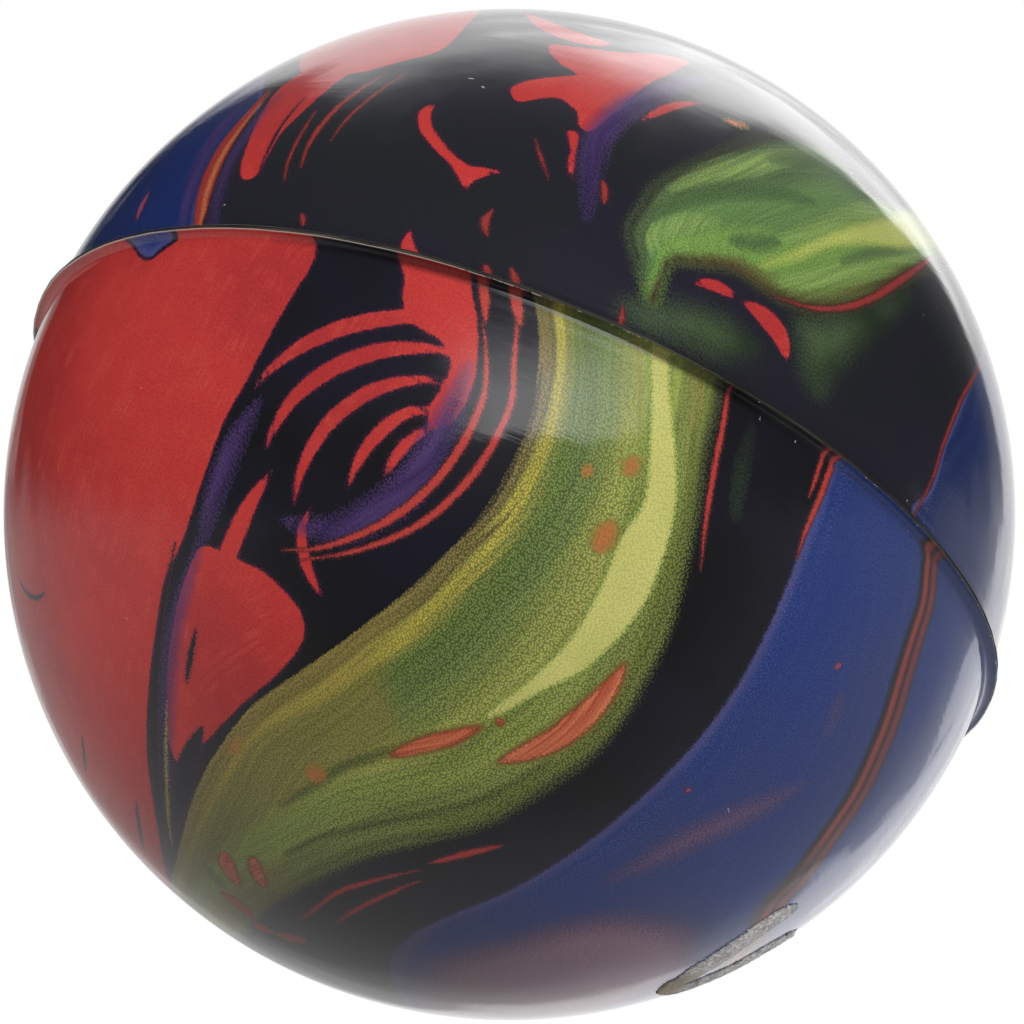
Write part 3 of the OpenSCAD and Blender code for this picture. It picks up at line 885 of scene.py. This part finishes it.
    # The band's first side is cut sharply, and the other fades out in dots.
    sharper = addNode(tree, "MapRange", {"Value": field["across"], "From Min": 0.2, "From Max": 0.5,
                                         "To Min": look["crispness"], "To Max": 1.0})
    band = addNode(tree, "Math", {0: field["green"], 1: sharper}, operation="MULTIPLY")
    ground = layInk(tree, ground, linear(film["greenEdge"]), band, grain, 0.45, 0.1 + look["feather"], 0.2)
    ground = layInk(tree, ground, green, band, grain, 0.35, 0.1 + look["feather"], 0.0)

    # Gold lines and the flat yellow tongue.
    ground = layInk(tree, ground, linear(film["gold"]), field["gold"], grain, 0.2, 0.1)
    yellow = addNode(tree, "MixRGB", {0: clouds(tree, place, 5.0), 1: linear(look["yellow"][0]),
                                      2: linear(look["yellow"][1])})
    ground = layInk(tree, ground, linear(film["yellowRim"]), field["yellow"], grain, 0.35,
                    0.1 + look["feather"] / 2, 0.14)
    ground = layInk(tree, ground, yellow, field["yellow"], grain, 0.15, 0.1 + look["feather"] / 3)

    # Drops and islands of coral on the green, streaked and with a warm glow round them, and softer smudges.
    coral = addNode(tree, "MixRGB", {0: fineStreaks, 1: linear(film["corals"][0]),
                                     2: linear(film["corals"][1])})
    for ink in ("smudge", "coral"):
        ground = layInk(tree, ground, linear(film["coralGlow"]), field[ink], grain, 0.7, 0.35, 0.25)
    ground = layInk(tree, ground, linear(film["smudge"]), field["smudge"], grain, 0.4, 0.4, -0.2)
    ground = layInk(tree, ground, linear(film["coralEdge"]), field["coral"], grain, 0.2, 0.1, 0.1)
    ground = layInk(tree, ground, coral, field["coral"], grain, 0.16, 0.1, -0.03)

    # Red lines, duller on the green and violet-pink on the blue.
    onGreen = addNode(tree, "MapRange", {"Value": field["green"], "From Min": 0.0, "From Max": 0.5})
    onBlue = addNode(tree, "MapRange", {"Value": field["blue"], "From Min": 0.5, "From Max": 1.0})
    veinColour = addNode(tree, "MixRGB", {0: onGreen, 1: linear(look["vein"]),
                                          2: linear(film["veinOnGreen"])})
    veinColour = addNode(tree, "MixRGB", {0: onBlue, 1: veinColour, 2: linear(film["veinOnBlue"])})
    for ink in ("thread", "vein"):
        ground = layInk(tree, ground, linear(film["veinEdge"]), field[ink], grain, 0.14, 0.1, 0.08)
        ground = layInk(tree, ground, veinColour, field[ink], grain, 0.08, 0.07, -0.04)
    ground = layInk(tree, ground, linear(film["ember"]), field["ember"], grain, 0.1, 0.12, -0.04)

    # The long double line over the blue, and the dark smear that it ends in.
    ground = layInk(tree, ground, cordTones, field["cord"], grain, 0.12, 0.12, 0.05)
    ground = layInk(tree, ground, linear(film["smear"]), field["smear"], grain, 0.8, 0.8, -0.1)

    # Fine grain of the whole print, painted shade in the lower cup's fold, and specks of dust.
    tooth = addNode(tree, "MapRange", {"Value": grain, "From Min": -0.5, "From Max": 0.5,
                                       "To Min": 0.84, "To Max": 1.16})
    # Painted shade: the print is darkened to 0.3 in the fold.
    paintedFoldShade = addNode(tree, "MapRange", {"Value": field["fold"], "To Min": 1.0, "To Max": 0.3})
    tooth = addNode(tree, "Math", {0: tooth, 1: paintedFoldShade}, operation="MULTIPLY")
    ground = addNode(tree, "VectorMath", {0: ground, "Scale": tooth}, operation="SCALE").outputs[0]
    ground = layInk(tree, ground, linear(film["specks"]), field["wear"], grain, 0.03, 0.03)

    # The raw cut edge of the film, where the ink is thin over a dark body, and its crest in cream, partly
    # wear that shows a cream body and partly a painted highlight: a whole line of it on the left, and chips
    # elsewhere.
    raw = addNode(tree, "Math", {0: field["raw"], 1: 0.7}, operation="MULTIPLY")
    ground = addNode(tree, "MixRGB", {0: raw, 1: ground, 2: linear(film["cutEdge"])})
    chips = addNode(tree, "TexNoise", {"Vector": place, "Scale": 2.6, "Detail": 4.0, "Roughness": 0.65})
    crest = addNode(tree, "Math", {0: field["lip"], 1: 0.3, 2: chips}, operation="MULTIPLY_ADD")
    crest = addNode(tree, "Math", {0: field["crestWearAndHighlight"], 1: 0.5, 2: crest}, operation="MULTIPLY_ADD")
    # Painted highlight and wear: a cream line on the crest.
    wornAndHighlight = addNode(tree, "MapRange", {"Value": crest, "From Min": 0.82, "From Max": 0.88, "To Max": 0.9})
    atEdge = addNode(tree, "MapRange", {"Value": field["lip"], "From Min": 0.75, "From Max": 0.95})
    wornAndHighlight = addNode(tree, "Math", {0: wornAndHighlight, 1: atEdge}, operation="MULTIPLY")
    ground = addNode(tree, "MixRGB", {0: wornAndHighlight, 1: ground, 2: linear(film["wornCrestAndHighlight"])})
    tree.links.new(ground.outputs[0], shader.inputs["Base Color"])

    peel = addNode(tree, "TexNoise", {"Vector": place, "Scale": 1 / 1.3, "Detail": 4.0, "Roughness": 0.5})
    rolled = addNode(tree, "VectorMath", {0: place, 1: (0.1, 0.1, 2.2)}, operation="MULTIPLY")
    rolled = addNode(tree, "TexNoise", {"Vector": rolled, "Scale": 1.0, "Detail": 3.0})
    height = addNode(tree, "Math", {0: rolled, 1: 1.6, 2: peel}, operation="MULTIPLY_ADD")
    bump = addNode(tree, "Bump", {"Strength": 1.0, "Distance": film["relief"] * mm, "Height": height})
    tree.links.new(bump.outputs[0], shader.inputs["Coat Normal"])
    return material


# Hides a node behind a new piece that rides with the ball and takes the record's finish.
def standFor(piece, node, material):
    piece.data.materials.append(material)
    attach(piece, "root")
    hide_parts(node)


for half, side, look in (("upper", 1, upperInks), ("lower", -1, lowerInks)):
    standFor(filmCup(half + "_film_cup", side), half + "_skin",
             printedFilm(half + " printed PVC film", look))
print("film cups made")


# Each rubber's name, its darker and its lighter tone, its roughness, and the size of its mould grain.
rubbers = {
    "core": ("moulded grey rubber", "#83868a", "#999b9d", 0.75, 0.3),
    "plug": ("moulded black rubber", "#2e2f33", "#3d3e42", 0.7, 0.25),
    "cement": ("dried rubber cement", "#26231f", "#4a463f", 0.45, 0.4),
}


# Natural rubber, press-moulded: matt, with a fine mould grain and slight blotches of filler.
def mouldedRubber(name, dark, light, roughness, grit):
    finish = {"Roughness": roughness, "IOR": 1.52, "Specular IOR Level": 0.4}
    material, tree, shader, place = newMaterial(name, finish)
    colour = addNode(tree, "MixRGB", {0: clouds(tree, place, 4.0, 0.35, 0.65, 4.0), 1: linear(dark),
                                      2: linear(light)})
    tree.links.new(colour.outputs[0], shader.inputs["Base Color"])
    grains = addNode(tree, "TexNoise", {"Vector": place, "Scale": 1 / grit, "Detail": 3.0})
    bump = addNode(tree, "Bump", {"Strength": 0.5, "Distance": 0.02 * mm, "Height": grains})
    tree.links.new(bump.outputs[0], shader.inputs["Normal"])
    return material


rubberMade = {rubber: mouldedRubber(*values) for rubber, values in rubbers.items()}
carried = {
    "upper_core_half": "core",
    "lower_core_half": "core",
    "port_plug": "plug",
    "joint_cement": "cement",
}
for node, rubber in carried.items():
    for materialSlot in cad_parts[node].material_slots:
        materialSlot.material = rubberMade[rubber]
print("rubber finished")

# The middle line is in the photograph's pixels, and the rest in millimetres.
seal = {
    "middle": [(794, 911), (788, 912), (778, 917), (766, 925), (752, 935), (736, 946), (718, 958), (702, 968),
               (686, 978), (672, 985), (673, 989), (689, 985.5), (707, 978.5), (725, 970.5), (745, 960.5),
               (762, 950.5), (785, 937), (797, 929)],
    "halfWidth": [0.35, 0.8, 1.05, 1.1, 1.1, 1.15, 1.2, 1.2, 1.0, 0.8, 0.8, 1.2, 1.4, 1.4, 1.3, 1.2, 1.0,
                  0.4],
    "height": 0.26,
    "sunk": 0.05,           # how far its underside lies in the film
    "crumb": 0.05,          # height of the crumbs on its back
    "smooth": 0.78,         # share of its height that is there without them
    "ragged": (0.07, 0.04), # unevenness of its width, of whole cross-sections and of crumbs, as shares
    "taper": (25, 0.15),    # how fast both ends widen, and the share of the width that they start from
    # grey crumb tones, made paler as painted glare
    "greysWithPaintedGlare": ("#adacab", "#e2e1df", "#a2a2a2"),
    "stain": "#978c72",
    "stainAt": (0.52, 0.09),        # middle and spread of the stain, as shares of the length
    "finish": {"Roughness": 0.85, "IOR": 1.5, "Specular IOR Level": 0.3},
    "steps": 18,            # cross-sections for each run of the middle line
    "around": 44,
}


# The bead of cement: a low rounded cross-section carried along its middle line on the ball, with an uneven
# edge, crumbs on its back, and both ends drawn to a point.
def sealBead(name):
    curve = curveThrough(seal["middle"], steps=seal["steps"])
    along = np.gradient(curve, axis=0)
    side = np.cross(curve, along)
    side /= np.linalg.norm(side, axis=1)[:, None]
    t = np.linspace(0, 1, len(curve))
    wide = np.interp(t, np.linspace(0, 1, len(seal["halfWidth"])), seal["halfWidth"])
    widening, tip = seal["taper"]
    wide *= np.minimum(1, np.minimum(t, 1 - t) * widening + tip)
    angle = np.arange(seal["around"]) / seal["around"] * 2 * pi
    crumbs = random.normal(size=(len(curve), seal["around"]))
    crumbs = (crumbs + np.roll(crumbs, 1, axis=0) + np.roll(crumbs, 1, axis=1)) / 5
    whole, single = seal["ragged"]
    ragged = 1 + whole * random.normal(size=(len(curve), 1)) + single * crumbs
    across = wide[:, None] * np.cos(angle)[None, :] * ragged
    back = np.abs(np.sin(angle))[None, :] ** 0.8
    above = back * (seal["height"] * seal["smooth"] + seal["crumb"] * crumbs)
    rise = np.where(np.sin(angle)[None, :] > 0, above, -seal["sunk"] * back)
    rise = np.minimum(rise * np.minimum(1, wide / 0.6)[:, None], seal["height"])
    outward = curve[:, None, :] + side[:, None, :] * across[:, :, None] / ballRadius
    outward /= np.linalg.norm(outward, axis=2)[:, :, None]
    rows = outward * (ballRadius + rise)[:, :, None]
    piece = closedMesh(name, rows, curve[0] * ballRadius, curve[-1] * ballRadius)
    middle, spread = seal["stainAt"]
    soiled = np.exp(-((t - middle) / spread) ** 2)
    storeField(piece.data, "soiled", np.concatenate([[0], np.repeat(soiled, seal["around"]), [0]]))
    return piece


# Dried cement with rubber crumb: rough and matt, pale grey grains on grey, stained olive-brown at one end.
# Its greys are lifted by painted glare.
def driedCement():
    material, tree, shader, place = newMaterial("dried cement with rubber crumb", seal["finish"])
    grains = addNode(tree, "TexVoronoi", {"Vector": place, "Scale": 1 / 0.16})
    # The greys carry painted glare: they are paler than the crumb itself.
    grey, pale, dull = (linear(colour) for colour in seal["greysWithPaintedGlare"])
    grey = addNode(tree, "MixRGB", {0: clouds(tree, place, 0.22, 0.42, 0.6, 3.0), 1: grey, 2: pale})
    grey = addNode(tree, "MixRGB", {0: clouds(tree, place, 1.2, 0.5, 0.75), 1: grey, 2: dull})
    stain = addNode(tree, "Attribute", attribute_name="soiled").outputs["Fac"]
    stain = addNode(tree, "Math", {0: stain, 1: 0.8}, operation="MULTIPLY")
    grey = addNode(tree, "MixRGB", {0: stain, 1: grey, 2: linear(seal["stain"])})
    tree.links.new(grey.outputs[0], shader.inputs["Base Color"])
    bump = addNode(tree, "Bump", {"Strength": 0.5, "Distance": 0.03 * mm, "Height": grains})
    tree.links.new(bump.outputs[0], shader.inputs["Normal"])
    return material


standFor(sealBead("port_seal_bead"), "port_seal", driedCement())
print("seal bead made")

# The floor is a pale matt card under the ball. It is see-through from beneath, because the photograph's
# camera is below it, and it casts no shadow and no reflection, so that it never darkens or fogs the print.
floorPlace = {
    "radius": 0.9,
    "height": -ballRadius * mm,
    "corners": 96,
    "tones": ("#e6e5e2", "#ebeae8"),
    # Millimetres from the ball where it starts to turn white and where that ends, and how white it is there.
    "white": (80.0, 330.0, 0.62),
    "finish": {"Roughness": 0.9, "Emission Color": (1, 1, 1, 1)},
}
turn = np.linspace(0, 2 * pi, floorPlace["corners"] + 1)[:-1]
rim = np.stack([np.cos(turn), np.sin(turn), 0 * turn], axis=1) * floorPlace["radius"]
rim[:, 2] = floorPlace["height"]
floorMesh = bpy.data.meshes.new("floor")
floorMesh.from_pydata(rim.tolist(), [], [list(range(len(rim)))])
floor = bpy.data.objects.new("floor", floorMesh)
bpy.context.scene.collection.objects.link(floor)
material, tree, shader, place = newMaterial("pale matt card", floorPlace["finish"])
dark, pale = (linear(colour) for colour in floorPlace["tones"])
card = addNode(tree, "MixRGB", {0: clouds(tree, place, 60.0), 1: dark, 2: pale})
tree.links.new(card.outputs[0], shader.inputs["Base Color"])
# Away from the ball it turns to the background's plain white, for the camera alone.
away = addNode(tree, "VectorMath", {0: place}, operation="LENGTH").outputs["Value"]
start, end, most = floorPlace["white"]
away = addNode(tree, "MapRange", {"Value": away, "From Min": start, "From Max": end, "To Max": most},
               interpolation_type="SMOOTHSTEP")
path = addNode(tree, "LightPath")
under = addNode(tree, "NewGeometry").outputs["Backfacing"]
away = addNode(tree, "Math", {0: away, 1: path.outputs["Is Camera Ray"]}, operation="MULTIPLY")
tree.links.new(away.outputs[0], shader.inputs["Emission Strength"])
hidden = addNode(tree, "Math", {0: path.outputs["Is Shadow Ray"], 1: path.outputs["Is Glossy Ray"]},
                 operation="MAXIMUM")
hidden = addNode(tree, "Math", {0: hidden, 1: under}, operation="MAXIMUM")
clear = addNode(tree, "BsdfTransparent")
surface = addNode(tree, "MixShader", {0: hidden, 1: shader, 2: clear})
output = next(node for node in tree.nodes if node.type == "OUTPUT_MATERIAL")
tree.links.new(surface.outputs[0], output.inputs["Surface"])
floorMesh.materials.append(material)

light = {
    "fill": 0.66,           # even light on the inks, at which they render about as written
    "background": 1.0,
    "uneven": 0.16,         # how far the cards' edges stray
    # What the gloss mirrors. Each round card is: degrees from straight behind the ball, degrees clockwise
    # from the image's up, the radii in degrees where it is gone and where it is full, and its strength.
    "cards": {
        "sweep": (22, 140, 38, 10, 0.31),
        "lowCard": (27, 116, 16, 7, 1.25),
        "hotCorner": (44, 37, 26, 2, 1.5),      # the softbox's lamp, added inside its edges
        "backdrop": (0, 0, 25, 10, 0.7),        # white paper straight behind, which edges the whole outline
    },
    # The softbox behind the ball and the window above the camera are cut out by planes, and so is the pale
    # table. Each plane is shares of the image's right, of its up and of the way to the camera, then where it
    # is gone and where it is full.
    "softbox": [(1, 0.2, 0, -0.2, -0.08), (1, 0, 0, 0.53, 0.46), (0.94, 0.33, 0, 0.675, 0.56),
                (0, 1, 0, 0.95, 0.72), (0, 1, 0, -0.66, -0.5), (0, 0, 1, 0.05, -0.15)],
    "softboxStrength": (1.0, 1.45),     # straight behind the ball, and at its near edge
    "softboxRun": (-0.97, -0.66),       # where those two are, as shares of the way to the camera
    "window": [(1, 0, 0, -0.3, -0.04), (1, 0, 0, 0.6, 0.22), (0, 1, 0, 0.26, 0.32), (0, 1, 0, 0.75, 0.4),
               (0, 0, 1, 0.0, 0.3)],
    "windowStrength": 3.0,
    "table": [(0, 1, 0, 0.1, -0.05), (0, 0, 1, 0.9, -0.1)],
    "tableStrength": 0.3,
}


# The studio round the ball, as a world: even light for the inks, and for the gloss a dark side with the
# camera, a pale table, white card and a softbox behind, and a soft window.
def studioWorld():
    world = bpy.data.worlds.new("studio")
    world.use_nodes = True
    tree = world.node_tree
    tree.nodes.clear()
    direction = addNode(tree, "TexCoord").outputs["Generated"]
    # A slight unevenness of the directions, so that no card's edge is a ruled line.
    uneven = addNode(tree, "TexNoise", {"Vector": direction, "Scale": 7.0, "Detail": 4.0}).outputs["Color"]
    uneven = addNode(tree, "VectorMath", {0: uneven, 1: (0.5, 0.5, 0.5)}, operation="SUBTRACT")
    direction = addNode(tree, "VectorMath", {0: uneven, 1: (light["uneven"],) * 3, 2: direction},
                        operation="MULTIPLY_ADD")

    # A smooth step from nothing to full along an axis.
    def lightAlong(axis, gone, full, strength=1.0):
        along = addNode(tree, "VectorMath", {0: direction, 1: tuple(axis)}, operation="DOT_PRODUCT")
        return addNode(tree, "MapRange", {"Value": along, "From Min": gone, "From Max": full,
                                          "To Max": strength}, interpolation_type="SMOOTHSTEP")

    # The product of the planes that cut a shape out.
    def cutOut(planes, strength):
        for right, up, ahead, gone, full in planes:
            side = lightAlong(right * imageRight - up * imageDown + ahead * toCamera, gone, full)
            strength = addNode(tree, "Math", {0: strength, 1: side}, operation="MULTIPLY")
        return strength

    card = {}
    for name, (back, clock, gone, full, strength) in light["cards"].items():
        sideward = sin(radians(clock)) * imageRight - cos(radians(clock)) * imageDown
        axis = -cos(radians(back)) * toCamera + sin(radians(back)) * sideward
        card[name] = lightAlong(axis, cos(radians(gone)), cos(radians(full)), strength)
    far, near = light["softboxStrength"]
    lamp = lightAlong(toCamera, *light["softboxRun"], near - far)
    lamp = addNode(tree, "Math", {0: lamp, 1: far}, operation="ADD")
    lamp = addNode(tree, "Math", {0: card["hotCorner"], 1: lamp}, operation="ADD")
    table = addNode(tree, "Math", {0: cutOut(light["table"], light["tableStrength"]), 1: card["sweep"]},
                    operation="ADD")
    for name in ("lowCard", "backdrop"):
        table = addNode(tree, "Math", {0: table, 1: card[name]}, operation="MAXIMUM")
    gloss = addNode(tree, "Math", {0: cutOut(light["softbox"], lamp), 1: table}, operation="MAXIMUM")
    window = cutOut(light["window"], light["windowStrength"])
    gloss = addNode(tree, "Math", {0: window, 1: gloss}, operation="ADD")
    path = addNode(tree, "LightPath")
    strength = addNode(tree, "Mix", {0: path.outputs["Is Glossy Ray"], 2: light["fill"], 3: gloss})
    strength = addNode(tree, "Mix", {0: path.outputs["Is Camera Ray"], 2: strength, 3: light["background"]})
    shine = addNode(tree, "Background", {"Color": (1, 1, 1, 1), "Strength": strength})
    addNode(tree, "OutputWorld", {"Surface": shine})
    bpy.context.scene.world = world


studioWorld()


# A square lamp that looks at the ball's centre and isn't mirrored in the gloss.
def addLamp(name, axis, distance, size, power):
    lamp = bpy.data.lights.new(name, "AREA")
    lamp.shape = "SQUARE"
    lamp.size = size
    lamp.energy = power
    holder = bpy.data.objects.new(name, lamp)
    back = np.array(axis) / np.linalg.norm(axis)
    right = np.cross(imageRight, back)
    right = np.cross(back, right / np.linalg.norm(right))
    up = np.cross(back, right)
    holder.matrix_world = Matrix([[right[i], up[i], back[i], back[i] * distance] for i in range(3)]
                                 + [[0, 0, 0, 1]])
    holder.visible_glossy = False
    holder.visible_camera = False
    bpy.context.scene.collection.objects.link(holder)


# Each lamp's way from the ball, its distance and size in metres, and its power in watts.
lamps = {
    "key": (toCamera * 0.8 - imageDown * 0.6, 0.4, 0.25, 0.85),
    "top": ((0.3, 0.2, 1.0), 0.5, 0.4, 0.6),
}
for name, values in lamps.items():
    addLamp(name, *values)

camera = bpy.data.cameras.new("photograph")
camera.sensor_width = photo["sensor"]
camera.lens = photo["radius"] / tan(limbAngle) / photo["size"] * photo["sensor"]
camera.shift_x = (photo["size"] / 2 - photo["centre"][0]) / photo["size"]
camera.shift_y = (photo["centre"][1] - photo["size"] / 2) / photo["size"]
camera.clip_start = 0.01
cameraHolder = bpy.data.objects.new("photograph", camera)
place = toCamera * photo["distance"] * ballRadius * mm
cameraHolder.matrix_world = Matrix([[imageRight[i], -imageDown[i], toCamera[i], place[i]] for i in range(3)]
                                   + [[0, 0, 0, 1]])
bpy.context.scene.collection.objects.link(cameraHolder)
bpy.context.scene.camera = cameraHolder
bpy.context.scene.view_settings.view_transform = "Standard"
print("light and camera set")
